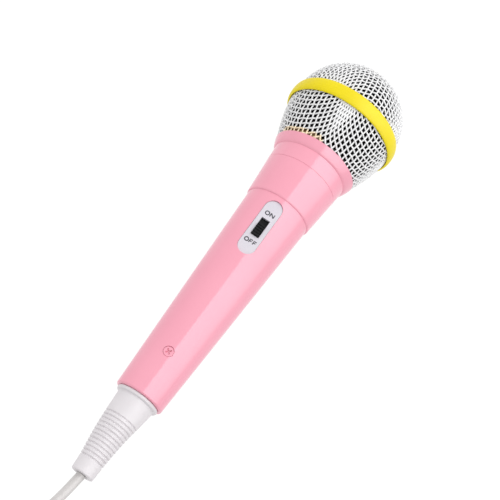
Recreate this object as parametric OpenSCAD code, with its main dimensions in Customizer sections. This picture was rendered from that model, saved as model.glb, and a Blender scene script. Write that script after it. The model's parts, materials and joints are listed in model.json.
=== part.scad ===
// Hand-held toy microphone with a wire-mesh head, a slide switch and a cord.
// It lies on its trim band and on the tail of its handle, switch up.
// Distances along the microphone are counted from the tail end of the handle.

/* [Handle] */
// Outer radius at the tail end
tail_r = 10.3; // [9.8:0.1:10.8]
// Length of the tapered tube, up to the step
handle_len = 96.3; // [94:0.1:99]
// Outer radius just below the step
handle_head_r = 14.35; // [14.2:0.05:14.6]
// Wall thickness of the tube
handle_wall = 2; // [1.8:0.1:2.2]
// Outer radius just above the step
neck_r = 14.95; // [14.8:0.05:15.1]
// Place of the line between the neck and the collar
neck_end = 113.8; // [112:0.1:115]

/* [Head] */
// Place where the collar starts to flare
flare_start = 120.5; // [119.5:0.1:121]
// Outer radius where the flare starts
flare_r = 16.9; // [16.7:0.05:17.1]
// Place of the collar's rim
rim_pos = 124.9; // [124.5:0.1:125.3]
// Outer radius of the collar's rim
rim_r = 19.15; // [19:0.05:19.3]
// Outer radius of the mesh head
head_r = 24.6; // [24:0.1:25]
// Place of the centre of the dome
dome_pos = 150; // [149.5:0.1:151]
// Thickness of the woven mesh
mesh_t = 1; // [0.8:0.1:1.1]
// Place of the middle of the trim band
band_pos = 146.5; // [146:0.1:147]
// Width of the trim band
band_w = 6.6; // [5.5:0.1:7]
// Outer radius of the trim band
band_r = 25.8; // [25.6:0.1:26.5]

/* [Switch] */
// Place of the middle of the switch plate
switch_pos = 81.1; // [80:0.1:81.5]
// Length of the switch plate
bezel_len = 26.1; // [25:0.1:27]
// Width of the switch plate
bezel_w = 7.6; // [7.2:0.1:8]
// Length of the slot in the plate
slot_len = 8.6; // [8.4:0.1:9]
// Width of the slot in the plate
slot_w = 3.8; // [3.7:0.1:4]
// Length of the knob
knob_len = 5.2; // [5:0.1:5.2]

/* [Tail] */
// Place of the screw that holds the cord anchor
screw_pos = 18.8; // [17:0.1:20]
// Radius of the screw's head
screw_head_r = 2.1; // [1.9:0.1:2.2]
// Length of the strain relief outside the handle
boot_len = 35.5; // [33:0.5:38]
// Radius of the strain relief where the cord leaves it
boot_end_r = 4.7; // [4.5:0.1:5]
// Number of grooves in the strain relief
boot_grooves = 12; // [8:1:12]

/* [Cord] */
// Diameter of the cord
cord_d = 3.8; // [3.6:0.1:3.8]
// Diameter of the plug's shaft
plug_d = 3.5; // [3.5]

/* [Hidden] */
$fn = 96;

pink = "#f9b1c2";
white = "#f0eef0";
black = "#1c1c1e";
steel = "#a9adb3";
brass = "#c39a4d";
yellow = "#ecd937";
cord_grey = "#dbd7d6";

// Gap left between neighbouring pieces that don't move
gap = 0.1;
// Gap left round the pieces that move
clear = 0.3;

// --- where the microphone lies ------------------------------------------
tail_round = 0.8;
band_round = (pow(band_w / 2, 2) + pow(band_r - head_r, 2)) / (2 * (band_r - head_r));
band_centre_r = band_r - band_round;
rest_rise = band_centre_r - (tail_r - tail_round);
rest_run = band_pos - tail_round;
rest_tilt = atan2(rest_rise, rest_run)
    + asin((band_round - tail_round) / norm([rest_rise, rest_run]));
axis_z = band_round + band_centre_r * cos(rest_tilt) - band_pos * sin(rest_tilt);
front_x = dome_pos * cos(rest_tilt) + head_r;
back_x = -boot_len * cos(rest_tilt) - boot_end_r * sin(rest_tilt);
origin_x = (front_x + back_x) / 2;

// --- handle -------------------------------------------------------------
taper = (handle_head_r - tail_r) / handle_len;
neck_taper = (flare_r - neck_r) / (flare_start - handle_len);
spigot_r = 13.2;
spigot_bore_r = 11.4;
spigot_end = 118.3;
tail_wall = 3.5;
tail_hole_r = 6;
step_len = 1.1;
seam_round = 0.1;
seam_gap = 0.02;

// --- head ---------------------------------------------------------------
flare_power = 0.6;
rim_round = 0.25;
cup_power = 1.6;
cup_foot = rim_pos + 0.3;
cup_foot_r = rim_r - 0.15;
mesh_bottom = 123;
mesh_bottom_r = 18.1;
foam_gap = 0.4;
foam_t = 3;
foam_bottom = 128.5;

// --- switch -------------------------------------------------------------
switch_face_r = tail_r + taper * switch_pos;
switch_slope = atan(taper);
bezel_top = -0.75;
bezel_t = 1.25;
pocket_floor = bezel_top - bezel_t;
pad_bottom = -3.6;
pad_size = [30, 10.4];
window_size = [16.4, 4.6];
peg_x = 10.3;
peg_r = 0.95;
frame_t = 0.5;
frame_size = [25.6, 6.4];
can_size = [15, 6.4];
can_bottom = -8.6;
can_wall = 0.4;
base_top = -7.7;
knob_w = slot_w - 2 * clear - 0.1;
knob_top = 0.5;
knob_travel = slot_len - knob_len - 2 * clear;
knob_x = -knob_travel / 2;
terminal_pitch = 3.2;

// --- tail ---------------------------------------------------------------
cord_r = cord_d / 2;
cord_bore_r = cord_r + 0.05;
anchor_span = [11, 27];
screw_shank_r = 1.1;
screw_head_h = 0.9;
boot_root_r = 7.2;
flange_r = 9.1;
groove_first = 10.8;
groove_pitch = 1.67;
groove_w = 0.7;
groove_depth = 0.55;

// --- cord ---------------------------------------------------------------
coil_centre = [-174, -23];
coil_base = 0.6;
coil_layers = 4;
coil_turns = 2.625;
coil_pitch = cord_d + 0.1;
coil_mid_r = 21;
coil_half_w = coil_turns * coil_pitch / 2;
coil_outer_r = coil_mid_r + coil_half_w;
coil_h = (coil_layers - 1) * coil_pitch + cord_d;
tie_t = 0.6;
tie_w = 5;
tie_angle = 200;
plug_z = 4.6;
plug_start = [-138, -51, plug_z];

boot_end = [-origin_x - boot_len * cos(rest_tilt), 0, axis_z - boot_len * sin(rest_tilt)];

// The stretch from the strain relief to the coil, along the surface
cord_route = [
    boot_end,
    [-110, 0.6, 5.6],
    [-117, 1.7, 4.6],
    [-125, 3.6, 3.5],
    [-133, 5.2, 2.5],
    [-141, 5.8, 2],
    [-150, 5.4, 1.9],
    [-158, 4.5, 2],
    [-166, 3.6, 2.3],
    [-174, 3.2, 2.5]
];

// The stretch from the coil's top layer down to the plug
end_route = [
    [-174, -49.1, 14.2],
    [-167, -49.2, 13.5],
    [-160, -49.5, 11.6],
    [-153, -50, 8.9],
    [-146, -50.7, 6.2],
    [-142, -51, 5.1],
    plug_start
];

// Leads from the capsule to the switch, and from the cord to the switch
lead_r = 0.5;
capsule_lead_route = [[3, 0, 120.2], [3, 0, 114], [2.4, 0, 104], [2.2, 0, 94], [2.2, 0, 86]];
cord_lead_route = [[0, 0, 27.8], [0.4, 0, 36], [1, 0, 50], [1.8, 0, 64], [2.2, 0, 76]];
lead_spread = 1.6;

// --- functions ----------------------------------------------------------
function unit(v) = v / norm(v);

// Direction of a route at its point i
function heading(p, i) = unit(p[min(i + 1, len(p) - 1)] - p[max(i - 1, 0)]);

// Ring of points round a route at its point i
function ring(p, i, r, n) =
    let (t = heading(p, i))
    let (side = unit(cross(t, abs(t[2]) > 0.9 ? [1, 0, 0] : [0, 0, 1])))
    let (up = cross(side, t))
    [for (k = [0:n - 1]) p[i] + r * (cos(360 * k / n) * side + sin(360 * k / n) * up)];

// Outer radius of the lower grille at a place along the head
function cup_r(s) =
    head_r - (head_r - cup_foot_r) * pow(1 - (s - cup_foot) / (band_pos - cup_foot), cup_power);

// Outline of the lower grille, made smaller by inset
function cup_outline(inset, from, to, n = 14) =
    [for (k = [0:n]) let (s = from + (to - from) * k / n) [cup_r(s) - inset, s]];

// Outline of a quarter circle about [0, dome_pos]
function dome_outline(r, n = 24) =
    [for (k = [0:n]) [r * cos(90 * k / n), dome_pos + r * sin(90 * k / n)]];

// --- helpers ------------------------------------------------------------
// Local Z runs along the microphone to the head, local X is its upper side
module along_mic() {
    translate([-origin_x, 0, axis_z])
        rotate([0, 90 - rest_tilt, 0])
            rotate([0, 0, 180])
                children();
}

// Local X runs to the head along the tube's surface, local Z points out of it
module on_switch_face() {
    along_mic()
        translate([switch_face_r, 0, switch_pos])
            rotate([0, switch_slope - 90, 0])
                rotate([180, 0, 0])
                    children();
}

// Local Z points out of the tube through the screw
module on_screw() {
    along_mic()
        translate([0, 0, screw_pos])
            rotate([0, 90, 0])
                children();
}

module turned(points) {
    rotate_extrude()
        polygon(points);
}

module pipe(r_out, r_in, from, to) {
    translate([0, 0, from])
        difference() {
            cylinder(r = r_out, h = to - from);
            translate([0, 0, -1])
                cylinder(r = r_in, h = to - from + 2);
        }
}

module block(size, from, to) {
    translate([-size[0] / 2, -size[1] / 2, from])
        cube([size[0], size[1], to - from]);
}

// Plate with round ends, along X
module stadium(length, width, from, to) {
    for (side = [-1, 1])
        translate([side * (length - width) / 2, 0, from])
            cylinder(d = width, h = to - from);
    block([length - width, width], from, to);
}

// Round tube along a route
module sweep(route, r, n = 8) {
    last = len(route) - 1;
    points = [for (i = [0:last]) each ring(route, i, r, n)];
    sides = [
        for (i = [0:last - 1], k = [0:n - 1])
            [i * n + k, i * n + (k + 1) % n, (i + 1) * n + (k + 1) % n, (i + 1) * n + k]
    ];
    start_cap = [for (k = [n - 1:-1:0]) k];
    end_cap = [for (k = [0:n - 1]) last * n + k];
    polyhedron(points, concat([start_cap], sides, [end_cap]));
}

module lead_pair(route) {
    for (side = [-1, 1])
        translate([0, side * lead_spread, 0])
            sweep(route, lead_r, 6);
}

module on_plug() {
    translate(plug_start)
        rotate([0, 90, 0])
            children();
}

// --- handle -------------------------------------------------------------
module handle_tube() {
    color(pink)
        difference() {
            union() {
                along_mic()
                    handle_shell();
                on_switch_face()
                    block(pad_size, pad_bottom, pocket_floor + 0.5);
            }
            on_switch_face()
                switch_cuts();
            on_screw() {
                cylinder(r = screw_shank_r + 0.05, h = 20);
                translate([0, 0, tail_r + taper * screw_pos - screw_head_h - 0.2])
                    cylinder(r = screw_head_r + gap, h = 5);
            }
        }
}

module handle_shell() {
    turned([
        [tail_hole_r, 0],
        for (k = [0:6]) [
            tail_r - tail_round + tail_round * sin(15 * k),
            tail_round - tail_round * cos(15 * k)
        ],
        [handle_head_r, handle_len],
        [spigot_r, handle_len],
        [spigot_r, spigot_end],
        [spigot_bore_r, spigot_end],
        [spigot_bore_r, handle_len],
        [handle_head_r - handle_wall, handle_len - 3],
        [tail_r - handle_wall + taper * tail_wall, tail_wall],
        [tail_hole_r, tail_wall]
    ]);
}

module switch_cuts() {
    stadium(bezel_len + 2 * gap, bezel_w + 2 * gap, pocket_floor, 3);
    block(window_size, pad_bottom - 1, pocket_floor + 1);
    for (side = [-1, 1])
        translate([side * peg_x, 0, pad_bottom - 1])
            cylinder(r = peg_r + gap, h = 4);
}

module neck_sleeve() {
    neck_end_r = neck_r + neck_taper * (neck_end - seam_round - handle_len);
    color(pink)
        along_mic()
            turned([
                [spigot_r + 0.05, handle_len + seam_gap],
                for (k = [0:4]) let (u = k / 4) [
                    handle_head_r + (neck_r - handle_head_r) * sin(90 * u),
                    handle_len + seam_gap + step_len * (1 - cos(90 * u))
                ],
                [neck_end_r, neck_end - seam_round],
                [neck_end_r - seam_round, neck_end - seam_gap],
                [spigot_r + 0.05, neck_end - seam_gap]
            ]);
}

module head_collar() {
    foot_r = neck_r + neck_taper * (neck_end + seam_round - handle_len);
    color(pink)
        along_mic()
            turned([
                [spigot_r + 0.05, neck_end + seam_gap],
                [foot_r - seam_round, neck_end + seam_gap],
                [foot_r, neck_end + seam_round],
                for (k = [0:8]) let (u = pow(k / 8, 1.5)) [
                    flare_r + (rim_r - flare_r) * pow(u, flare_power),
                    flare_start + (rim_pos - rim_round - flare_start) * u
                ],
                [rim_r - rim_round, rim_pos],
                [mesh_bottom_r + gap, rim_pos],
                [mesh_bottom_r + gap, mesh_bottom - gap],
                [flare_r - 2, flare_start + 0.2],
                [flare_r - 2, spigot_end + gap],
                [spigot_r + 0.05, spigot_end + gap]
            ]);
}

// --- head ---------------------------------------------------------------
module lower_grille() {
    outer = cup_outline(0, cup_foot, band_pos - gap);
    inner = cup_outline(mesh_t, cup_foot + 0.6, band_pos - gap);
    color(white)
        along_mic()
            turned(concat(
                [[mesh_bottom_r - mesh_t, mesh_bottom], [mesh_bottom_r, mesh_bottom]],
                [[mesh_bottom_r, rim_pos]],
                outer,
                [for (k = [len(inner) - 1:-1:0]) inner[k]]
            ));
}

module upper_grille() {
    color(white)
        along_mic()
            difference() {
                union() {
                    translate([0, 0, band_pos + gap])
                        cylinder(r = head_r, h = dome_pos - band_pos - gap);
                    translate([0, 0, dome_pos])
                        sphere(r = head_r);
                }
                translate([0, 0, band_pos - 40 + gap])
                    cylinder(r = head_r + 5, h = 40);
                translate([0, 0, dome_pos])
                    sphere(r = head_r - mesh_t);
                translate([0, 0, band_pos - 1])
                    cylinder(r = head_r - mesh_t, h = dome_pos - band_pos + 1);
            }
}

module grille_base_ring() {
    color(brass)
        along_mic()
            turned([
                [15.4, 122.9],
                [17, 122.9],
                [17, 124.8],
                [17.8, 125.4],
                [17.8, 126.2],
                [15.4, 126.2]
            ]);
}

module grille_joint_ring() {
    color(steel)
        along_mic()
            pipe(head_r - mesh_t - 0.3, head_r - mesh_t - 1.1, band_pos - 2.2, band_pos + 2.8);
}

module trim_band() {
    half_angle = asin(band_w / 2 / band_round);
    color(yellow)
        along_mic()
            turned([
                [head_r + 0.05, band_pos - band_w / 2],
                for (k = [-6:6]) [
                    band_centre_r + band_round * cos(half_angle * k / 6) + 0.06,
                    band_pos + band_round * sin(half_angle * k / 6)
                ],
                [head_r + 0.05, band_pos + band_w / 2]
            ]);
}

module foam_windscreen() {
    inset = mesh_t + foam_gap;
    joint = band_pos - 3;
    outer = concat(cup_outline(inset, foam_bottom, joint), [[head_r - inset - 0.8, joint + 0.2]],
        dome_outline(head_r - inset - 0.8));
    inner = concat(cup_outline(inset + foam_t, foam_bottom, joint), dome_outline(head_r - inset - foam_t));
    color(black)
        along_mic()
            turned(concat(outer, [for (k = [len(inner) - 1:-1:0]) inner[k]]));
}

// --- capsule ------------------------------------------------------------
module capsule_holder() {
    color(black)
        along_mic()
            turned([
                [4.6, 118.5],
                [14.7, 118.5],
                [14.7, 119.8],
                [14.3, 119.8],
                [14.3, 131],
                [13, 131],
                [13, 119.8],
                [4.6, 119.8]
            ]);
}

module shock_ring() {
    color("#3a3a3d")
        along_mic()
            pipe(12.9, 11.6, 123.5, 129);
}

module capsule_body() {
    color("#2a2a2e")
        along_mic()
            turned([
                [2, 121.6],
                [11.5, 121.6],
                [11.5, 135],
                [10.4, 135],
                [10.4, 131.6],
                [9, 131.6],
                [9, 122.8],
                [2, 122.8]
            ]);
}

module capsule_front() {
    color(steel)
        along_mic()
            difference() {
                translate([0, 0, 135.05])
                    cylinder(r = 11.5, h = 1.2);
                for (turn = [0:7])
                    rotate([0, 0, 45 * turn])
                        translate([6.5, 0, 130])
                            cylinder(r = 1.1, h = 10, $fn = 24);
                translate([0, 0, 130])
                    cylinder(r = 1.4, h = 10, $fn = 24);
            }
}

module diaphragm() {
    dome_chord = 6.6;
    color("#e5ddc4")
        along_mic()
            turned([
                for (k = [0:8]) [dome_chord * k / 8, 134.2 - 1.8 * pow(k / 8, 2)],
                [10.3, 131.9],
                [10.3, 131.65],
                [6.8, 132.05],
                for (k = [8:-1:0]) [dome_chord * k / 8, 133.95 - 1.8 * pow(k / 8, 2)]
            ]);
}

module voice_coil() {
    color("#b86b3a")
        along_mic()
            pipe(6.5, 5.9, 127, 132);
}

module pole_plate() {
    color(steel)
        along_mic()
            translate([0, 0, 127.55])
                cylinder(r = 5.4, h = 1.2);
}

module magnet() {
    color("#55565a")
        along_mic()
            translate([0, 0, 124.5])
                cylinder(r = 5.2, h = 3);
}

module yoke() {
    color(steel)
        along_mic()
            difference() {
                translate([0, 0, 122.85])
                    cylinder(r = 8.9, h = 5.9);
                translate([0, 0, 124.45])
                    cylinder(r = 7.4, h = 10);
            }
}

module terminal_board() {
    color("#8a5a2b")
        along_mic()
            translate([0, 0, 120.4])
                cylinder(r = 6, h = 1.1);
}

module capsule_leads() {
    color("#b3392f")
        along_mic()
            lead_pair(capsule_lead_route);
}

// --- switch -------------------------------------------------------------
module switch_bezel() {
    color("#e6dfe8")
        on_switch_face()
            difference() {
                union() {
                    stadium(bezel_len, bezel_w, pocket_floor + 0.02, bezel_top);
                    for (side = [-1, 1])
                        translate([side * peg_x, 0, 0])
                            bezel_peg();
                }
                block([slot_len, slot_w], pocket_floor - 5, 2);
            }
}

// Moulded peg whose end is melted over behind the switch frame
module bezel_peg() {
    head_top = pad_bottom - frame_t - 0.05;
    translate([0, 0, head_top])
        cylinder(r = peg_r, h = pocket_floor - head_top + 0.5);
    translate([0, 0, head_top - 0.6])
        cylinder(r = 1.6, h = 0.6);
}

module switch_frame() {
    plate_top = pad_bottom - 0.02;
    inside = [can_size[0] - 2 * can_wall, can_size[1] - 2 * can_wall];
    color(steel)
        on_switch_face()
            difference() {
                union() {
                    block(frame_size, plate_top - frame_t, plate_top);
                    block(can_size, can_bottom, plate_top);
                }
                block(inside, can_bottom - 1, plate_top - frame_t);
                block([knob_len + knob_travel + 1.2, 3], can_bottom, 0);
                for (side = [-1, 1])
                    translate([side * peg_x, 0, -10])
                        cylinder(r = peg_r + gap, h = 10);
            }
}

module switch_base() {
    color("#7a4a25")
        on_switch_face()
            difference() {
                block([can_size[0] - 1, can_size[1] - 1], can_bottom, base_top);
                for (k = [-1:1])
                    translate([k * terminal_pitch, 0, 0])
                        block([1.3, 0.7], can_bottom - 1, base_top + 1);
            }
}

module switch_terminals() {
    color(brass)
        on_switch_face()
            for (k = [-1:1])
                translate([k * terminal_pitch, 0, 0])
                    block([1.2, 0.6], can_bottom - 2.2, base_top + 0.2);
}

module switch_knob() {
    rib_n = 5;
    rib_pitch = (knob_len - 0.6) / (rib_n - 1);
    color(black)
        on_switch_face()
            translate([knob_x, 0, 0]) {
                block([knob_len, knob_w], -3, knob_top - 0.4);
                for (k = [0:rib_n - 1])
                    translate([0.3 - knob_len / 2 + k * rib_pitch, 0, 0])
                        block([0.55, knob_w], knob_top - 0.6, knob_top);
                block([12.4, 3.9], -2.85, -2.35);
                block([4.4, 2.3], -5, -2.5);
                block([7, 4.6], -6.1, -4.5);
            }
}

module switch_contact() {
    color(brass)
        on_switch_face()
            translate([knob_x, 0, 0])
                difference() {
                    block([6.6, 2.6], -7, -6.1);
                    block([2.2, 3], -7.5, -6.5);
                }
}

// --- tail ---------------------------------------------------------------
module cord_leads() {
    color("#b3392f")
        along_mic()
            lead_pair(cord_lead_route);
}

module cord_anchor() {
    wall_gap = handle_wall + 0.15;
    color(white)
        difference() {
            along_mic()
                difference() {
                    translate([0, 0, anchor_span[0]])
                        cylinder(
                            r1 = tail_r + taper * anchor_span[0] - wall_gap,
                            r2 = tail_r + taper * anchor_span[1] - wall_gap,
                            h = anchor_span[1] - anchor_span[0]
                        );
                    translate([0, 0, anchor_span[0] - 1])
                        cylinder(r = cord_bore_r, h = 20);
                }
            on_screw()
                cylinder(r = screw_shank_r + 0.05, h = 20);
        }
}

module handle_screw() {
    head_bottom = tail_r + taper * screw_pos - screw_head_h - 0.15;
    color(pink)
        on_screw()
            difference() {
                union() {
                    translate([0, 0, cord_r + 0.5])
                        cylinder(r = screw_shank_r, h = head_bottom - cord_r);
                    translate([0, 0, head_bottom])
                        cylinder(r = screw_head_r, h = screw_head_h - 0.2);
                    translate([0, 0, head_bottom + screw_head_h - 0.2])
                        cylinder(r1 = screw_head_r, r2 = screw_head_r - 0.2, h = 0.2);
                }
                for (turn = [45, 135])
                    rotate([0, 0, turn])
                        block([2.5, 0.55], head_bottom + screw_head_h - 0.7, 20);
            }
}

module strain_relief() {
    color(white)
        along_mic()
            difference() {
                turned([
                    [cord_bore_r, -boot_len],
                    [boot_end_r - 0.4, -boot_len],
                    [boot_end_r, -boot_len + 0.4],
                    [boot_end_r + 0.3, -30],
                    [boot_root_r, -9.5],
                    [7.9, -1.5],
                    [flange_r - 0.3, -1.4],
                    [flange_r, -1.1],
                    [flange_r, -0.3],
                    [flange_r - 0.3, -0.02],
                    [tail_hole_r - 0.05, -0.02],
                    [tail_hole_r - 0.05, tail_wall + 0.05],
                    [tail_hole_r + 0.6, tail_wall + 0.05],
                    [tail_hole_r - 0.2, tail_wall + 1.6],
                    [cord_bore_r, tail_wall + 1.6]
                ]);
                for (k = [0:boot_grooves - 1])
                    boot_groove(groove_first + k * groove_pitch);
            }
}

// Ring-shaped groove at a distance behind the handle
module boot_groove(distance) {
    floor_r = boot_root_r - (boot_root_r - boot_end_r - 0.3) * (distance - 9.5) / 20.5 - groove_depth;
    pipe(20, floor_r, -distance - groove_w / 2, -distance + groove_w / 2);
}

module cord_inner_run() {
    color(cord_grey)
        along_mic()
            translate([0, 0, -boot_len])
                cylinder(r = cord_r, h = boot_len + anchor_span[1] + 0.5);
}

// --- cord ---------------------------------------------------------------
module cord() {
    color(cord_grey)
        sweep(cord_route, cord_r);
}

module cord_coil() {
    inner_r = coil_mid_r - coil_half_w - cord_r;
    outer_r = coil_outer_r + cord_r;
    round_r = cord_r;
    color(cord_grey)
        translate([coil_centre[0], coil_centre[1], coil_base])
            rotate_extrude()
                union() {
                    translate([inner_r + round_r, 0])
                        square([outer_r - inner_r - 2 * round_r, coil_h]);
                    translate([inner_r, round_r])
                        square([outer_r - inner_r, coil_h - 2 * round_r]);
                    for (x = [inner_r + round_r, outer_r - round_r], y = [round_r, coil_h - round_r])
                        translate([x, y])
                            circle(r = round_r);
                }
}

module cord_end() {
    color(cord_grey)
        sweep(end_route, cord_r);
}

module cord_tie() {
    inside = [2 * (coil_half_w + cord_r) + 0.5, coil_h + 0.3];
    color(white)
        translate([coil_centre[0], coil_centre[1], coil_base + coil_h / 2])
            rotate([0, 0, tie_angle])
                translate([coil_mid_r, 0, 0])
                    rotate([90, 0, 0])
                        difference() {
                            block(inside + [2 * tie_t, 2 * tie_t - 0.3], -tie_w / 2, tie_w / 2);
                            block(inside, -tie_w, tie_w);
                        }
}

// --- plug ---------------------------------------------------------------
module plug_grip() {
    color(white)
        on_plug()
            turned([
                [0, 0],
                [2.6, 0],
                [3.1, 9],
                [4.2, 10.5],
                [plug_z, 13],
                [plug_z, 25],
                [4, 27],
                [0, 27]
            ]);
}

module plug_sleeve() {
    color(brass)
        on_plug()
            translate([0, 0, 27]) {
                cylinder(r = 3, h = 1);
                cylinder(d = plug_d, h = 10.5);
            }
}

module plug_insulator() {
    color(black)
        on_plug()
            translate([0, 0, 37.5])
                cylinder(d = plug_d - 0.6, h = 0.8);
}

module plug_tip() {
    color(brass)
        on_plug()
            turned([
                [0, 38.3],
                [1.2, 38.3],
                [1.7, 39.3],
                [1.1, 40.2],
                [1.6, 40.9],
                [0.5, 42],
                [0, 42]
            ]);
}

handle_tube();
neck_sleeve();
head_collar();
lower_grille();
upper_grille();
grille_base_ring();
grille_joint_ring();
trim_band();
foam_windscreen();
capsule_holder();
shock_ring();
capsule_body();
capsule_front();
diaphragm();
voice_coil();
pole_plate();
magnet();
yoke();
terminal_board();
capsule_leads();
switch_bezel();
switch_frame();
switch_base();
switch_terminals();
switch_knob();
switch_contact();
cord_leads();
cord_anchor();
handle_screw();
strain_relief();
cord_inner_run();
cord();
cord_coil();
cord_end();
cord_tie();
plug_grip();
plug_sleeve();
plug_insulator();
plug_tip();
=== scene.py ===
import json
import math

import bpy
import numpy as np
from mathutils import Matrix, Vector


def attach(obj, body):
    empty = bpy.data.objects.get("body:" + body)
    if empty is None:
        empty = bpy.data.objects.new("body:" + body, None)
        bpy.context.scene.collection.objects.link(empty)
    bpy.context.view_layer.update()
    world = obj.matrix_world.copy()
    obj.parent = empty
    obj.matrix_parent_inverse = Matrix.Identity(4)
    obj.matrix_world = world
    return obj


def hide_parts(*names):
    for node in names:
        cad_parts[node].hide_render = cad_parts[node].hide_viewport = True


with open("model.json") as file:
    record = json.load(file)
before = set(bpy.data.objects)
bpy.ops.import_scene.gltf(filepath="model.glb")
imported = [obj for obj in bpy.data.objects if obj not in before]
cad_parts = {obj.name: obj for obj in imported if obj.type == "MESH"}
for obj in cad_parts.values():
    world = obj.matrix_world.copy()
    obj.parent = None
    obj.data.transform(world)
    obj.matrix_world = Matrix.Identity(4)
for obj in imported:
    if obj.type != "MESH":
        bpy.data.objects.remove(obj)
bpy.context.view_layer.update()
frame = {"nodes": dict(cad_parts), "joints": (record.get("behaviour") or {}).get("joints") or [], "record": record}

MM = 0.001
BODY = "microphone"

# ---------------------------------------------------------------- the frame
# The clip mount lies on the microphone's axis, this far from its tail.
CLIP_PLACE = 50 * MM
CLIP = next(m for m in frame["record"]["mounts"] if m["name"] == "clip_zone")
AXIS = Vector(CLIP["axis"]).normalized()
SIDE = Vector((0, -1, 0))
UP = SIDE.cross(AXIS)
TAIL = Vector(CLIP["pos_m"]) - CLIP_PLACE * AXIS

# Local Z runs from the tail to the head, local X is the side of the switch.
MIC = Matrix.Translation(TAIL) @ Matrix((UP, SIDE, AXIS)).transposed().to_4x4()
TO_LOCAL = MIC.inverted()


def span(node):
    """(first place, last place, smallest radius, largest radius) of a CAD node about the axis."""
    points = [TO_LOCAL @ v.co for v in frame["nodes"][node].data.vertices]
    places = [p.z for p in points]
    radii = [math.hypot(p.x, p.y) for p in points]
    return min(places), max(places), min(radii), max(radii)


# ---------------------------------------------------------------- camera
# Fitted to the photo's outlines, then corrected by comparing renders with it.
CAMERA_AT = Vector((-0.2208, -0.0582, 0.4415))
CAMERA_AZIMUTH = 14.26
CAMERA_ELEVATION = 61.0
CAMERA_ROLL = 21.34
CAMERA_LENS = 86.4
SENSOR_WIDTH = 36


def add_camera():
    data = bpy.data.cameras.new("camera")
    data.lens = CAMERA_LENS
    data.sensor_width = SENSOR_WIDTH
    data.clip_start = 0.01
    camera = bpy.data.objects.new("camera", data)
    bpy.context.collection.objects.link(camera)
    turn = Matrix.Rotation(math.radians(CAMERA_AZIMUTH - 90), 4, "Z")
    tilt = Matrix.Rotation(math.radians(90 - CAMERA_ELEVATION), 4, "X")
    roll = Matrix.Rotation(math.radians(CAMERA_ROLL), 4, "Z")
    camera.matrix_world = Matrix.Translation(CAMERA_AT) @ turn @ tilt @ roll
    bpy.context.scene.camera = camera


add_camera()

# ---------------------------------------------------------------- cord
# The same route as in the CAD model, in metres.
CORD_D = 3.8 * MM
COIL_CENTRE = Vector((-0.174, -0.023, 0))
COIL_BASE = 0.6 * MM
COIL_LAYERS = 4
COIL_TURNS = 2.625
COIL_PITCH = CORD_D + 0.1 * MM
COIL_MID_R = 21 * MM
STEPS_A_TURN = 24
# Part of a turn over which the cord climbs to the next layer, half on each side of the change.
CLIMB_TURN = 0.34
START_ANGLE = math.radians(90)

EXIT = MIC @ Vector((0, 0, span("strain_relief")[0]))
ROUTE_OUT = [
    EXIT,
    Vector((-0.110, 0.0006, 0.0056)),
    Vector((-0.117, 0.0017, 0.0046)),
    Vector((-0.125, 0.0036, 0.0035)),
    Vector((-0.133, 0.0052, 0.0025)),
    Vector((-0.141, 0.0058, 0.0020)),
    Vector((-0.150, 0.0054, 0.0019)),
    Vector((-0.158, 0.0045, 0.0020)),
    Vector((-0.166, 0.0036, 0.0023)),
]
ROUTE_END = [
    Vector((-0.167, -0.0492, 0.0135)),
    Vector((-0.160, -0.0495, 0.0116)),
    Vector((-0.153, -0.0500, 0.0089)),
    Vector((-0.146, -0.0507, 0.0062)),
    Vector((-0.142, -0.0510, 0.0051)),
    Vector((-0.138, -0.0510, 0.0046)),
]


def smooth_step(t):
    t = min(max(t, 0), 1)
    return t * t * (3 - 2 * t)


def coil_points():
    """Turns that wind inwards and outwards, layer on layer, and leave at the top outside."""
    inner = COIL_MID_R - COIL_TURNS * COIL_PITCH / 2
    outer = COIL_MID_R + COIL_TURNS * COIL_PITCH / 2
    count = round(COIL_LAYERS * COIL_TURNS * STEPS_A_TURN)
    rise = CLIMB_TURN / COIL_TURNS
    points = []
    for k in range(count + 1):
        turns = k / STEPS_A_TURN
        layer = min(int(turns / COIL_TURNS), COIL_LAYERS - 1)
        within = turns / COIL_TURNS - layer
        inwards = within if layer % 2 == 0 else 1 - within
        radius = outer + (inner - outer) * inwards
        level = layer
        if layer < COIL_LAYERS - 1 and within > 1 - rise / 2:
            level += smooth_step((within - 1 + rise / 2) / rise)
        if layer > 0 and within < rise / 2:
            level += smooth_step((within + rise / 2) / rise) - 1
        angle = START_ANGLE + 2 * math.pi * turns
        height = COIL_BASE + CORD_D / 2 + level * COIL_PITCH
        way = Vector((radius * math.cos(angle), radius * math.sin(angle), height))
        points.append(COIL_CENTRE + way)
    return points


def add_tube(name, points, radius):
    """A round tube along a smooth curve."""
    data = bpy.data.curves.new(name, "CURVE")
    data.dimensions = "3D"
    # The points' own radius sets the thickness, as a curve's box is its points and their radius.
    data.bevel_depth = 1
    data.bevel_resolution = 6
    data.use_fill_caps = True
    data.resolution_u = 3
    spline = data.splines.new("NURBS")
    spline.points.add(len(points) - 1)
    for target, p in zip(spline.points, points):
        target.co = (*p, 1)
        target.radius = radius
    spline.use_endpoint_u = True
    spline.order_u = 3
    piece = bpy.data.objects.new(name, data)
    bpy.context.collection.objects.link(piece)
    return piece


def add_cord():
    piece = add_tube("mic_cord", ROUTE_OUT + coil_points() + ROUTE_END, CORD_D / 2)
    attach(piece, BODY)
    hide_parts("cord", "cord_coil", "cord_end")
    return piece


mic_cord = add_cord()

# ---------------------------------------------------------------- materials


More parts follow.
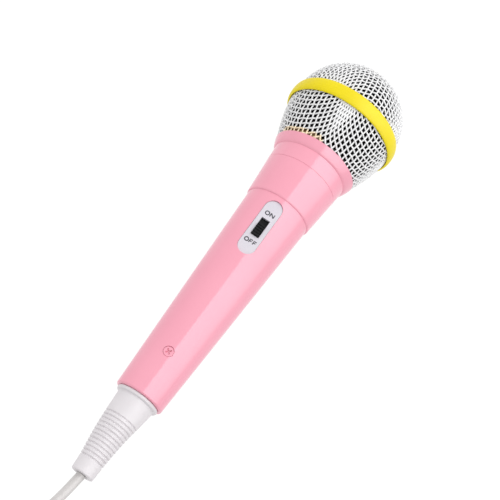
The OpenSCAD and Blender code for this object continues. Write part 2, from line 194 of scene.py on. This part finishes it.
class Shader:
    """A material whose nodes are added one call at a time."""

    def __init__(self, name, colour, roughness, metallic=0.0, **sockets):
        self.material = bpy.data.materials.new(name)
        self.material.use_nodes = True
        self.tree = self.material.node_tree
        self.surface = self.tree.nodes["Principled BSDF"]
        self.surface.inputs["Base Color"].default_value = (*colour, 1)
        self.surface.inputs["Roughness"].default_value = roughness
        self.surface.inputs["Metallic"].default_value = metallic
        for socket, value in sockets.items():
            self.surface.inputs[socket.replace("_", " ")].default_value = value
        self.place = self.tree.nodes.new("ShaderNodeTexCoord").outputs["Object"]
        self.normal = None

    def node(self, kind, **values):
        made = self.tree.nodes.new(kind)
        for key, value in values.items():
            made.inputs[key.replace("_", " ")].default_value = value
        return made

    def noise(self, size, detail, stretch=None):
        """Noise whose features are about size metres across."""
        place = self.place
        if stretch:
            mapping = self.node("ShaderNodeMapping", Scale=stretch)
            self.tree.links.new(place, mapping.inputs["Vector"])
            place = mapping.outputs["Vector"]
        made = self.node("ShaderNodeTexNoise", Scale=1 / size, Detail=detail)
        self.tree.links.new(place, made.inputs["Vector"])
        return made.outputs["Fac"]

    def cells(self, size):
        """Round pores about size metres across."""
        made = self.node("ShaderNodeTexVoronoi", Scale=1 / size)
        self.tree.links.new(self.place, made.inputs["Vector"])
        return made.outputs["Distance"]

    def ramp(self, value, low, high, start=0.3, end=0.7):
        """Goes from low to high as value goes from start to end."""
        made = self.node("ShaderNodeMapRange")
        made.inputs["From Min"].default_value = start
        made.inputs["From Max"].default_value = end
        made.inputs["To Min"].default_value = low
        made.inputs["To Max"].default_value = high
        self.tree.links.new(value, made.inputs["Value"])
        return made.outputs["Result"]

    def vary_colour(self, value, other, start=0.3, end=0.7):
        """Goes from the base colour to the other one as value rises."""
        mix = self.tree.nodes.new("ShaderNodeMix")
        mix.data_type = "RGBA"
        socket = self.surface.inputs["Base Color"]
        if socket.links:
            self.tree.links.new(socket.links[0].from_socket, mix.inputs["A"])
        else:
            mix.inputs["A"].default_value = socket.default_value
        mix.inputs["B"].default_value = (*other, 1)
        self.tree.links.new(self.ramp(value, 0, 1, start, end), mix.inputs["Factor"])
        self.tree.links.new(mix.outputs["Result"], socket)

    def vary_roughness(self, value, low, high):
        self.tree.links.new(self.ramp(value, low, high), self.surface.inputs["Roughness"])

    def bump(self, value, depth):
        """Raises the surface by depth metres, on top of the bumps that it already has."""
        made = self.node("ShaderNodeBump", Strength=1, Distance=depth)
        self.tree.links.new(value, made.inputs["Height"])
        if self.normal:
            self.tree.links.new(self.normal, made.inputs["Normal"])
        self.normal = made.outputs["Normal"]
        self.tree.links.new(self.normal, self.surface.inputs["Normal"])


def pink_plastic():
    made = Shader("pink_plastic", (0.80, 0.335, 0.425), 0.12, Specular_IOR_Level=0.35)
    made.vary_colour(made.noise(22 * MM, 2), (0.82, 0.35, 0.44))
    made.vary_roughness(made.noise(1.3 * MM, 4), 0.1, 0.14)
    made.bump(made.noise(5 * MM, 2), 0.012 * MM)
    made.bump(made.noise(0.25 * MM, 2), 0.0015 * MM)
    return made.material


def wire_paint():
    made = Shader("white_wire_paint", (0.76, 0.76, 0.765), 0.38, Specular_IOR_Level=0.4)
    made.vary_colour(made.noise(3 * MM, 3), (0.68, 0.68, 0.69), 0.45, 0.8)
    made.vary_roughness(made.noise(0.4 * MM, 3), 0.3, 0.46)
    made.bump(made.noise(0.16 * MM, 3), 0.012 * MM)
    return made.material


def yellow_rubber():
    made = Shader("yellow_rubber", (0.74, 0.60, 0.008), 0.45, Specular_IOR_Level=0.15)
    made.vary_colour(made.noise(12 * MM, 3), (0.78, 0.64, 0.012))
    made.vary_roughness(made.noise(0.8 * MM, 4), 0.34, 0.48)
    made.bump(made.noise(0.3 * MM, 3), 0.006 * MM)
    return made.material


def black_foam():
    made = Shader("black_foam", (0.003, 0.003, 0.003), 1.0, Specular_IOR_Level=0.02)
    made.vary_colour(made.cells(0.55 * MM), (0.010, 0.010, 0.011), 0.2, 0.7)
    made.bump(made.cells(0.55 * MM), 0.25 * MM)
    made.bump(made.noise(0.2 * MM, 3), 0.06 * MM)
    return made.material


def soft_white():
    made = Shader("soft_white_vinyl", (0.70, 0.67, 0.69), 0.5, Specular_IOR_Level=0.2)
    made.vary_colour(made.noise(6 * MM, 3), (0.67, 0.64, 0.66))
    made.vary_roughness(made.noise(0.6 * MM, 3), 0.36, 0.5)
    made.bump(made.noise(0.25 * MM, 3), 0.006 * MM)
    return made.material


def cord_jacket():
    made = Shader("cord_jacket", (0.59, 0.565, 0.56), 0.45, Specular_IOR_Level=0.35)
    made.vary_colour(made.noise(9 * MM, 3), (0.54, 0.52, 0.51))
    made.vary_roughness(made.noise(0.7 * MM, 3), 0.4, 0.55)
    made.bump(made.noise(0.3 * MM, 3), 0.01 * MM)
    return made.material


def plate_plastic():
    made = Shader("plate_plastic", (0.60, 0.575, 0.63), 0.28, Specular_IOR_Level=0.35)
    made.vary_colour(made.noise(5 * MM, 2), (0.63, 0.60, 0.655))
    made.vary_roughness(made.noise(0.5 * MM, 3), 0.24, 0.34)
    made.bump(made.noise(0.15 * MM, 2), 0.002 * MM)
    return made.material


def black_plastic():
    made = Shader("black_plastic", (0.004, 0.004, 0.005), 0.45, Specular_IOR_Level=0.12)
    made.vary_colour(made.noise(1 * MM, 3), (0.008, 0.008, 0.009))
    made.vary_roughness(made.noise(0.3 * MM, 3), 0.34, 0.52)
    made.bump(made.noise(0.12 * MM, 3), 0.006 * MM)
    return made.material


def dark_rubber():
    made = Shader("dark_rubber", (0.03, 0.03, 0.032), 0.6)
    made.vary_roughness(made.noise(0.5 * MM, 3), 0.5, 0.7)
    made.bump(made.noise(0.2 * MM, 3), 0.01 * MM)
    return made.material


def metal(name, colour, dark, roughness):
    along_x = (1, 8, 8)
    made = Shader(name, colour, roughness, 1.0)
    made.vary_colour(made.noise(2 * MM, 4), dark, 0.5, 0.85)
    made.vary_roughness(made.noise(0.2 * MM, 3, along_x), roughness - 0.06, roughness + 0.1)
    made.bump(made.noise(0.1 * MM, 2, along_x), 0.004 * MM)
    return made.material


def matt_piece(name, colour, other, roughness):
    made = Shader(name, colour, roughness)
    made.vary_colour(made.noise(1 * MM, 3), other)
    made.bump(made.noise(0.2 * MM, 3), 0.008 * MM)
    return made.material


def copper_winding():
    """Fine wire, wound too closely to show its turns."""
    made = Shader("copper_winding", (0.60, 0.24, 0.09), 0.3, 1.0)
    made.vary_roughness(made.noise(0.3 * MM, 3), 0.25, 0.4)
    made.bump(made.noise(0.12 * MM, 2), 0.02 * MM)
    return made.material


MATERIALS = {
    "pink": pink_plastic(),
    "white_wire": wire_paint(),
    "band_yellow": yellow_rubber(),
    "black_foam": black_foam(),
    "brass_metal": metal("brass", (0.62, 0.42, 0.14), (0.40, 0.26, 0.09), 0.34),
    "steel_metal": metal("steel", (0.50, 0.51, 0.53), (0.36, 0.37, 0.39), 0.3),
    "black_plastic": black_plastic(),
    "plate_white": plate_plastic(),
    "soft_white": soft_white(),
    "cord_white": cord_jacket(),
    "dark_rubber": dark_rubber(),
    "film": matt_piece("film", (0.70, 0.64, 0.46), (0.64, 0.58, 0.40), 0.3),
    "copper": copper_winding(),
    "fibre_board": matt_piece("fibre_board", (0.26, 0.12, 0.04), (0.20, 0.09, 0.03), 0.6),
    "ferrite": matt_piece("ferrite", (0.08, 0.08, 0.09), (0.05, 0.05, 0.06), 0.55),
    "lead_red": matt_piece("lead_red", (0.50, 0.04, 0.03), (0.42, 0.03, 0.03), 0.4),
    "legend_ink": matt_piece("legend_ink", (0.012, 0.012, 0.02), (0.02, 0.02, 0.03), 0.6),
    "glued_wire": matt_piece("glued_wire", (0.78, 0.62, 0.40), (0.84, 0.74, 0.56), 0.35),
    # Painted shade: near-black colour for the brass base ring, so that it reads as shade behind the mesh.
    "painted_shade_ring": matt_piece("painted_shade_ring", (0.012, 0.010, 0.008), (0.02, 0.016, 0.012), 0.6),
    "amber_glue": matt_piece("amber_glue", (0.25, 0.14, 0.045), (0.17, 0.09, 0.025), 0.5),
}

def show(node, material):
    """Gives a CAD piece one of the materials."""
    for socket in frame["nodes"][node].material_slots:
        socket.material = MATERIALS[material]


for part in frame["record"]["subparts"]:
    show(part["node"], part["material_slot"])
# Painted shade: this brass ring is given a near-black colour, so that what shows of it between the wires is dark
# like shade, with glue over it.
show("grille_base_ring", "painted_shade_ring")
mic_cord.data.materials.append(MATERIALS["cord_white"])


# ---------------------------------------------------------------- mesh helpers
def add_mesh(name, vertices, faces, slot, matrix=MIC):
    """A piece of the microphone, made from local vertices and faces."""
    data = bpy.data.meshes.new(name)
    data.from_pydata([matrix @ Vector(v) for v in vertices], [], faces)
    data.polygons.foreach_set("use_smooth", [True] * len(data.polygons))
    data.update()
    data.materials.append(MATERIALS[slot])
    piece = bpy.data.objects.new(name, data)
    bpy.context.collection.objects.link(piece)
    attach(piece, BODY)
    return piece


def lathe(outline, segments):
    """Vertices and faces of a closed outline of (radius, place) turned about local Z."""
    vertices, faces = [], []
    count = len(outline)
    for k in range(segments):
        angle = 2 * math.pi * k / segments
        vertices += [(r * math.cos(angle), r * math.sin(angle), s) for r, s in outline]
    for k in range(segments):
        here = k * count
        there = (k + 1) % segments * count
        for i in range(count):
            j = (i + 1) % count
            faces.append((here + i, there + i, there + j, here + j))
    return vertices, faces


def tube_faces(rings, sides):
    """Faces of a tube with closed ends, whose vertices come ring by ring."""
    faces = []
    for k in range(rings - 1):
        here = k * sides
        there = here + sides
        for i in range(sides):
            j = (i + 1) % sides
            faces.append((here + i, here + j, there + j, there + i))
    faces.append(tuple(range(sides - 1, -1, -1)))
    faces.append(tuple((rings - 1) * sides + i for i in range(sides)))
    return faces


# ---------------------------------------------------------------- woven wire mesh
WIRE_PITCH = 2.15 * MM
WIRE_HALF_WIDTH = 0.36 * MM
WIRE_HALF_DEPTH = 0.29 * MM
WEAVE_DEPTH = 0.24 * MM
WIRE_SIDES = 8
CELL_STEPS = 4
# How far each half is turned about the axis, in degrees, and how many wires there are from its pole.
DOME_TURN = 22
DOME_WIRES = 20
CUP_TURN = 47
CUP_WIRES = 26
CUP_CORNER_R = 3 * MM
CUP_POWER = 1.6
# The wires end this far from the middle of the trim band, and below the collar's rim.
JOINT_GAP = 0.3 * MM
HIDDEN_END = 1.6 * MM
SOLVER_STEPS = 12
SOLVED = 1e-8
# Below this the two wires run too nearly side by side to have a crossing.
FLATTEST = 0.05
# Glue under the mesh, on one side of its foot, between two angles about the axis.
GLUE_FROM = -66
GLUE_TO = 0
GLUE_HEIGHT = 2.1 * MM


class DomeSurface:
    """Half ball with its pole at the top of the head, going on as a short tube below its rim."""

    def __init__(self, radius, centre):
        self.radius = radius
        self.centre = centre

    def gap_and_normal(self, p):
        z = p[2] - self.centre
        flat = np.array([p[0], p[1], max(z, 0)])
        length = np.linalg.norm(flat)
        return length - self.radius, flat / length

    def meridian(self, t):
        angle = t / self.radius
        if angle < math.pi / 2:
            return self.radius * math.sin(angle), self.centre + self.radius * math.cos(angle)
        return self.radius, self.centre - (t - self.radius * math.pi / 2)


class CupSurface:
    """Lower half of the head: a wall that widens upwards, on a flat bottom that the collar hides."""

    def __init__(self, inset, foot, foot_r, top, top_r, power):
        self.inset = inset
        self.foot = foot
        self.foot_r = foot_r
        self.top = top
        self.top_r = top_r
        self.power = power
        self.corner = CUP_CORNER_R
        self.flat_r = self.radius(foot) - self.corner
        self.line = self.sample()

    def radius(self, s):
        left = max(1 - (s - self.foot) / (self.top - self.foot), 0)
        return self.top_r - (self.top_r - self.foot_r) * left**self.power - self.inset

    def slope(self, s):
        step = 0.01 * MM
        return (self.radius(s + step) - self.radius(s)) / step

    def gap_and_normal(self, p):
        """Distance outside the surface, and the direction straight out of it."""
        flat = math.hypot(p[0], p[1])
        if p[2] < self.foot:
            if flat < self.flat_r:
                return self.foot - self.corner - p[2], np.array([0, 0, -1.0])
            way = np.array([p[0], p[1], 0]) / flat
            arm = way * (flat - self.flat_r) + np.array([0, 0, p[2] - self.foot])
            length = np.linalg.norm(arm)
            return length - self.corner, arm / length
        slope = self.slope(p[2])
        normal = np.array([p[0] / flat, p[1] / flat, -slope]) / math.hypot(1, slope)
        return (flat - self.radius(p[2])) / math.hypot(1, slope), normal

    def sample(self):
        """The outline from the middle of the bottom upwards, with the length along it."""
        bottom = self.foot - self.corner
        points = [(self.flat_r * k / 20, bottom) for k in range(20)]
        for k in range(20):
            angle = math.pi / 2 * k / 20
            across = self.flat_r + self.corner * math.sin(angle)
            points.append((across, self.foot - self.corner * math.cos(angle)))
        height = self.top + 6 * MM - self.foot
        for k in range(81):
            place = self.foot + height * k / 80
            points.append((self.radius(place), place))
        places = [0.0]
        for a, b in zip(points, points[1:]):
            places.append(places[-1] + math.dist(a, b))
        return np.array(places), np.array(points)

    def meridian(self, t):
        places, points = self.line
        return np.interp(t, places, points[:, 0]), np.interp(t, places, points[:, 1])


def drawn_net(surface, rows, reach):
    """Crossings of a square mesh drawn over a surface, with every cell side one pitch long.

    The first two wires cross at the pole. Every other crossing is one pitch from two that are known.
    """
    net = {}
    for i in range(rows):
        r, z = surface.meridian(i * WIRE_PITCH)
        net[i, 0] = np.array([r, 0, z])
        net[0, i] = np.array([0, r, z])
    for total in range(2, 2 * rows):
        for i in range(max(1, total - rows + 1), min(total, rows)):
            j = total - i
            known = [net.get(key) for key in ((i - 1, j), (i, j - 1), (i - 1, j - 1))]
            if any(p is None for p in known):
                continue
            if not (reach(known[0]) or reach(known[1])):
                continue
            crossing = next_crossing(surface, *known)
            if crossing is not None:
                net[i, j] = crossing
    return net


def next_crossing(surface, a, b, corner):
    """The point on the surface that is one pitch from a and from b, on the far side from corner."""
    p = a + b - corner
    for _ in range(SOLVER_STEPS):
        gap, normal = surface.gap_and_normal(p)
        to_a, to_b = p - a, p - b
        long_a, long_b = np.linalg.norm(to_a), np.linalg.norm(to_b)
        matrix = np.array([to_a / long_a, to_b / long_b, normal])
        error = np.array([long_a - WIRE_PITCH, long_b - WIRE_PITCH, gap])
        if abs(np.linalg.det(matrix)) < FLATTEST:
            return None
        p = p - np.linalg.solve(matrix, error)
    return p if abs(error).max() < SOLVED else None


def whole_net(surface, rows, reach):
    """The quarter net, mirrored into all four quarters."""
    quarter = drawn_net(surface, rows, reach)
    net = {}
    for (i, j), p in quarter.items():
        for x in (1, -1):
            for y in (1, -1):
                net[x * i, y * j] = p * np.array([x, y, 1])
    return net


def wire_paths(surface, net, rows, inside):
    """Each wire's centre points and surface normals, over and under the wires that it crosses."""
    paths = []
    for across in (0, 1):
        for i in range(-rows + 1, rows):
            stretch = []
            for j in range(-rows, rows + 1):
                p = net.get((i, j) if across else (j, i))
                if p is not None and inside(p):
                    over = 1 if (i + j + across) % 2 else -1
                    normal = surface.gap_and_normal(p)[1]
                    stretch.append(np.concatenate([p + normal * over * WEAVE_DEPTH, normal]))
                else:
                    paths.append(stretch)
                    stretch = []
            paths.append(stretch)
    return [refined(path) for path in paths if len(path) > 1]


def refined(path):
    """Points of a smooth curve through the path, with CELL_STEPS to each cell."""
    points = [2 * path[0] - path[1], *path, 2 * path[-1] - path[-2]]
    fine = []
    for k in range(1, len(points) - 2):
        a, b, c, d = points[k - 1:k + 3]
        square = 2 * a - 5 * b + 4 * c - d
        cube = 3 * b - a - 3 * c + d
        for step in range(CELL_STEPS):
            t = step / CELL_STEPS
            fine.append(0.5 * (2 * b + (c - a) * t + square * t**2 + cube * t**3))
    fine.append(path[-1])
    return np.array(fine)


def unit_rows(vectors):
    return vectors / np.linalg.norm(vectors, axis=1)[:, None]


def wire_mesh(path):
    """Vertices and faces of a slightly flattened wire, with closed ends."""
    centres, normals = path[:, :3], path[:, 3:]
    count = len(path)
    sides = WIRE_SIDES
    ahead = unit_rows(np.gradient(centres, axis=0))
    side = unit_rows(np.cross(ahead, normals))
    out = np.cross(side, ahead)
    angles = 2 * math.pi * np.arange(sides) / sides
    ring = WIRE_HALF_WIDTH * np.cos(angles)[None, :, None] * side[:, None]
    ring = ring + WIRE_HALF_DEPTH * np.sin(angles)[None, :, None] * out[:, None]
    vertices = (centres[:, None] + ring).reshape(-1, 3)
    return vertices, tube_faces(count, sides)


def woven_half(name, node, surface, rows, turn, reach, inside):
    """One half of the head, drawn as far as reach goes and kept where inside says so."""
    net = whole_net(surface, rows, reach)
    vertices, faces = [], []
    for path in wire_paths(surface, net, rows, inside):
        points, sides = wire_mesh(path)
        start = len(vertices)
        vertices += [tuple(p) for p in points]
        faces += [tuple(start + v for v in face) for face in sides]
    matrix = MIC @ Matrix.Rotation(math.radians(turn), 4, "Z")
    piece = add_mesh(name, vertices, faces, "white_wire", matrix)
    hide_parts(node)
    return piece


def stain_wires(piece, foot):
    """Gives the wires that the glue has run over their own colour."""
    piece.data.materials.append(MATERIALS["glued_wire"])
    for face in piece.data.polygons:
        p = TO_LOCAL @ face.center
        angle = math.degrees(math.atan2(p.y, p.x))
        if p.z < foot + GLUE_HEIGHT and GLUE_FROM < angle < GLUE_TO:
            face.material_index = 1


def add_dome(joint):
    _, top, _, head_r = span("upper_grille")
    dome = DomeSurface(head_r - WIRE_HALF_DEPTH - WEAVE_DEPTH, top - head_r)

    def above(p):
        return p[2] > joint + JOINT_GAP

    woven_half("dome_mesh", "upper_grille", dome, DOME_WIRES, DOME_TURN, above, above)
    return head_r


def add_cup(joint, head_r):
    foot, rim_r = span("head_collar")[1], span("head_collar")[3]
    depth = WIRE_HALF_DEPTH + WEAVE_DEPTH
    cup = CupSurface(depth, foot + 0.3 * MM, rim_r - 0.15 * MM, joint, head_r, CUP_POWER)

    def below(p):
        return p[2] < joint - JOINT_GAP

    def shown(p):
        return foot - HIDDEN_END < p[2] < joint - JOINT_GAP

    piece = woven_half("cup_mesh", "lower_grille", cup, CUP_WIRES, CUP_TURN, below, shown)
    stain_wires(piece, foot)


def add_grilles():
    joint = sum(span("trim_band")[:2]) / 2
    head_r = add_dome(joint)
    add_cup(joint, head_r)


add_grilles()

# ---------------------------------------------------------------- switch
SLIDE = next(j for j in frame["joints"] if j["name"] == "switch_slide")
SWITCH_AXIS = Vector(SLIDE["axis"]).normalized()
SWITCH_OUT = SIDE.cross(SWITCH_AXIS)
LEGEND_STROKE = 0.23 * MM
# Share of the stroke's thickness that stands out of the plate.
LEGEND_RELIEF = 0.2
LETTER_GAP = 0.6 * MM
ON_PLACE = 6.9 * MM
ON_HEIGHT = 1.6 * MM
OFF_PLACE = -7.05 * MM
OFF_HEIGHT = 1.55 * MM


def switch_matrix():
    """X to the head along the plate, Z out of it, from the middle of the plate's face."""
    points = [v.co for v in frame["nodes"]["switch_bezel"].data.vertices]
    places = [p.dot(SWITCH_AXIS) for p in points]
    heights = [p.dot(SWITCH_OUT) for p in points]
    middle = SWITCH_AXIS * (min(places) + max(places)) / 2 + SWITCH_OUT * max(heights)
    across = SWITCH_OUT.cross(SWITCH_AXIS)
    turn = Matrix((SWITCH_AXIS, across, SWITCH_OUT)).transposed().to_4x4()
    return Matrix.Translation(middle) @ turn


# Each letter is a list of strokes, and each stroke a list of (across, up) points.
def letter_o(width, height):
    stroke = []
    for k in range(25):
        angle = 2 * math.pi * k / 24
        across = width / 2 + width / 2 * math.sin(angle)
        stroke.append((across, height / 2 + height / 2 * math.cos(angle)))
    return [stroke]


def letter_n(width, height):
    return [[(0, 0), (0, height)], [(0, height), (width, 0)], [(width, 0), (width, height)]]


def letter_f(width, height):
    bar = height * 0.52
    return [[(0, 0), (0, height), (width, height)], [(0, bar), (width * 0.85, bar)]]


def add_legend(name, letters, middle, height):
    """Plain letters made of strokes, read across the plate with their tops to the head."""
    total = sum(width for _, width in letters) + LETTER_GAP * (len(letters) - 1)
    curve = bpy.data.curves.new(name, "CURVE")
    curve.dimensions = "3D"
    curve.bevel_depth = LEGEND_STROKE
    curve.use_fill_caps = True
    start = -total / 2
    for letter, width in letters:
        for stroke in letter(width, height):
            spline = curve.splines.new("POLY")
            spline.points.add(len(stroke) - 1)
            for target, (u, v) in zip(spline.points, stroke):
                target.co = (middle + v - height / 2, -(start + u), 0, 1)
        start += width + LETTER_GAP
    piece = bpy.data.objects.new(name, curve)
    piece.matrix_world = switch_matrix() @ Matrix.Diagonal((1, 1, LEGEND_RELIEF, 1))
    curve.materials.append(MATERIALS["legend_ink"])
    bpy.context.collection.objects.link(piece)
    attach(piece, BODY)


def add_legends():
    on_letters = [(letter_o, 1.7 * MM), (letter_n, 1.6 * MM)]
    off_letters = [(letter_o, 1.6 * MM), (letter_f, 1.15 * MM), (letter_f, 1.15 * MM)]
    add_legend("legend_on", on_letters, ON_PLACE, ON_HEIGHT)
    add_legend("legend_off", off_letters, OFF_PLACE, OFF_HEIGHT)


# ---------------------------------------------------------------- trim band
BAND_STEPS = 28
BAND_SEGMENTS = 256
# Height of the band's flat edges over the mesh, and of the moulding line round its middle.
BAND_EDGE = 0.1 * MM
BAND_LINE = 0.04 * MM
BAND_LINE_WIDTH = 0.05


def add_band():
    low, high, base_r, top_r = span("trim_band")
    middle, half = (low + high) / 2, (high - low) / 2
    outline = [(base_r, low), (base_r, high)]
    for k in range(BAND_STEPS + 1):
        u = math.cos(math.pi * k / BAND_STEPS)
        swell = (1 - abs(u)**2.4)**0.5
        line = BAND_LINE * math.exp(-(u / BAND_LINE_WIDTH)**2)
        radius = base_r + BAND_EDGE + (top_r - base_r - BAND_EDGE) * swell + line
        outline.append((radius, middle + half * u))
    vertices, faces = lathe(outline, BAND_SEGMENTS)
    piece = add_mesh("band_ring", vertices, faces, "band_yellow")
    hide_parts("trim_band")


# ---------------------------------------------------------------- strain relief
BOOT_BEND = 0.5 * MM
RIB_FIRST = 10 * MM
RIB_PITCH = 1.67 * MM
RIB_COUNT = 12
RIB_DEPTH = 0.5 * MM
BOOT_STEPS = 420
BOOT_SEGMENTS = 96
BOOT_NECK_R = 5.9 * MM
BORE_GAP = 0.05 * MM
HANDLE_GAP = 0.02 * MM
# Distance behind the handle and radius there, in millimetres: a flange, a taper and a rounded end.
BOOT_OUTLINE = [
    (0, 8.75),
    (0.12, 8.95),
    (0.35, 9.1),
    (0.9, 9.1),
    (1.25, 8.95),
    (1.45, 8.7),
    (1.55, 7.95),
    (9.5, 7.2),
    (30, 5.0),
    (35.1, 4.7),
    (35.4, 4.5),
    (35.5, 4.25),
]


def boot_radius(back):
    """Radius without the grooves, at a distance behind the handle."""
    places, radii = zip(*BOOT_OUTLINE)
    return float(np.interp(back / MM, places, radii)) * MM


def groove(back):
    """Depth of the rounded groove at a distance behind the handle."""
    turns = (back - RIB_FIRST) / RIB_PITCH
    if not 0 < turns < RIB_COUNT:
        return 0
    return RIB_DEPTH * max(0, math.cos(2 * math.pi * (turns - 0.5)))**1.2


def add_boot():
    end = -span("strain_relief")[0]
    inner_end = span("strain_relief")[1]
    bore_r = CORD_D / 2 + BORE_GAP
    outline = [(bore_r, -end)]
    for k in range(BOOT_STEPS + 1):
        back = end * (1 - k / BOOT_STEPS)
        outline.append((boot_radius(back) - groove(back), -back - HANDLE_GAP))
    outline += [(BOOT_NECK_R, -HANDLE_GAP), (BOOT_NECK_R, inner_end), (bore_r, inner_end)]
    vertices, faces = lathe(outline, BOOT_SEGMENTS)
    # Between its two ends, which stay where they are, the boot bends a little to one side.
    bent = []
    for x, y, s in vertices:
        t = min(max(-s / end, 0), 1)
        bent.append((x, y - BOOT_BEND * math.sin(math.pi * t)**2, s))
    piece = add_mesh("cord_boot", bent, faces, "soft_white")
    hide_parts("strain_relief")


# ---------------------------------------------------------------- glue under the mesh
GLUE_STEPS = 60
GLUE_SIDES = 10
GLUE_TAPER_STEPS = 6
GLUE_R = 17.5 * MM
GLUE_RISE = 1.3 * MM
# Thickness at the bead's ends, what the middle has more, and its unevenness, in millimetres.
GLUE_END, GLUE_SWELL, GLUE_UNEVEN = 0.3, 0.85, 0.12
GLUE_FLATNESS = 0.7


def add_glue():
    """Bead of glue that fixes the mesh to its ring on one side, seen through the lowest holes."""
    foot = span("head_collar")[1]
    vertices = []
    for k in range(GLUE_STEPS + 1):
        angle = math.radians(GLUE_FROM + (GLUE_TO - GLUE_FROM) * k / GLUE_STEPS)
        swell = min(k, GLUE_STEPS - k, GLUE_TAPER_STEPS) / GLUE_TAPER_STEPS
        uneven = GLUE_UNEVEN * math.sin(k * 1.9) * math.sin(k * 0.7)
        radius = (GLUE_END + GLUE_SWELL * swell + uneven) * MM
        for i in range(GLUE_SIDES):
            turn = 2 * math.pi * i / GLUE_SIDES
            across = GLUE_R + radius * math.cos(turn) * GLUE_FLATNESS
            place = foot + GLUE_RISE + radius * math.sin(turn)
            vertices.append((across * math.cos(angle), across * math.sin(angle), place))
    faces = tube_faces(GLUE_STEPS + 1, GLUE_SIDES)
    piece = add_mesh("mesh_glue", vertices, faces, "brass_metal")
    piece.data.materials[0] = MATERIALS["amber_glue"]


# ---------------------------------------------------------------- edges
SHARP_ANGLE = math.radians(50)


def soften_edges(node, width, segments=3):
    """Rounds a CAD piece's sharp edges."""
    modifier = frame["nodes"][node].modifiers.new("soft_edges", "BEVEL")
    modifier.width = width
    modifier.segments = segments
    modifier.limit_method = "ANGLE"
    modifier.angle_limit = SHARP_ANGLE


add_legends()
add_band()
add_boot()
add_glue()
soften_edges("switch_bezel", 0.18 * MM)
soften_edges("switch_knob", 0.08 * MM)
soften_edges("handle_screw", 0.06 * MM, 2)

# ---------------------------------------------------------------- floor and light
FLOOR_COLOUR = 0.15
FLOOR_GLOW = 0.9
FLOOR_SIZE = 8
ROOM_GLOW = 0.85
KEY_RADIANCE = 1.0
SIDE_RADIANCE = 9.0
REFLECTION_RADIANCE = 4.7
REFLECTION_LENGTH = 2.6
# Edges of the strips that make up the reflected sheet, from above the microphone down to its side.
REFLECTION_EDGES = [
    (0.3, -0.14, 1.0),
    (0.3, -0.55, 0.9),
    (0.3, -0.95, 0.65),
    (0.3, -1.2, 0.4),
    (0.3, -1.3, 0.2),
    (0.3, -1.35, 0.03),
]
# Each strip's share of the sheet's full brightness.
REFLECTION_SHARES = [1.0, 0.92, 0.78, 0.6, 0.4]


def add_floor():
    bpy.ops.mesh.primitive_plane_add(size=FLOOR_SIZE, location=(0, 0, 0))
    floor = bpy.context.object
    floor.name = "floor"
    made = Shader("floor_white", (FLOOR_COLOUR,) * 3, 0.8, Specular_IOR_Level=0.05)
    made.surface.inputs["Emission Color"].default_value = (1, 1, 1, 1)
    made.surface.inputs["Emission Strength"].default_value = FLOOR_GLOW
    floor.data.materials.append(made.material)


def add_softbox(name, near_edge, far_edge, length, radiance):
    """A lit sheet between two edges that run along X, seen from the origin as a strip."""
    near_edge, far_edge = Vector(near_edge), Vector(far_edge)
    data = bpy.data.lights.new(name, "AREA")
    data.shape = "RECTANGLE"
    data.size = length
    data.size_y = (far_edge - near_edge).length
    data.energy = radiance * math.pi * data.size * data.size_y
    light = bpy.data.objects.new(name, data)
    along = Vector((1, 0, 0))
    across = (far_edge - near_edge).normalized()
    facing = along.cross(across)
    if facing.dot(near_edge) < 0:
        along, facing = -along, -facing
    middle = (near_edge + far_edge) / 2
    turn = Matrix((along, across, facing)).transposed().to_4x4()
    light.matrix_world = Matrix.Translation(middle) @ turn
    bpy.context.collection.objects.link(light)
    return light


def add_studio():
    world = bpy.data.worlds.new("studio")
    world.use_nodes = True
    background = world.node_tree.nodes["Background"]
    background.inputs["Color"].default_value = (1, 1, 1, 1)
    background.inputs["Strength"].default_value = ROOM_GLOW
    bpy.context.scene.world = world
    # Shapes the piece without showing in its gloss.
    key = add_softbox("key", (0.45, 0.5, 1.0), (0.45, -0.5, 1.1), 1.6, KEY_RADIANCE)
    key.visible_glossy = False
    side = add_softbox("side", (0.4, -0.45, 0.9), (0.4, -0.65, 0.75), 0.3, SIDE_RADIANCE)
    side.visible_glossy = False
    # Shows in the gloss as a broad band with a sharp edge, and adds no other light.
    near_edge = REFLECTION_EDGES[0]
    for number, (far_edge, share) in enumerate(zip(REFLECTION_EDGES[1:], REFLECTION_SHARES)):
        radiance = share * REFLECTION_RADIANCE
        strip = add_softbox(f"reflection_{number}", near_edge, far_edge, REFLECTION_LENGTH, radiance)
        strip.visible_diffuse = False
        near_edge = far_edge
    bpy.context.scene.view_settings.view_transform = "Standard"


add_floor()
add_studio()
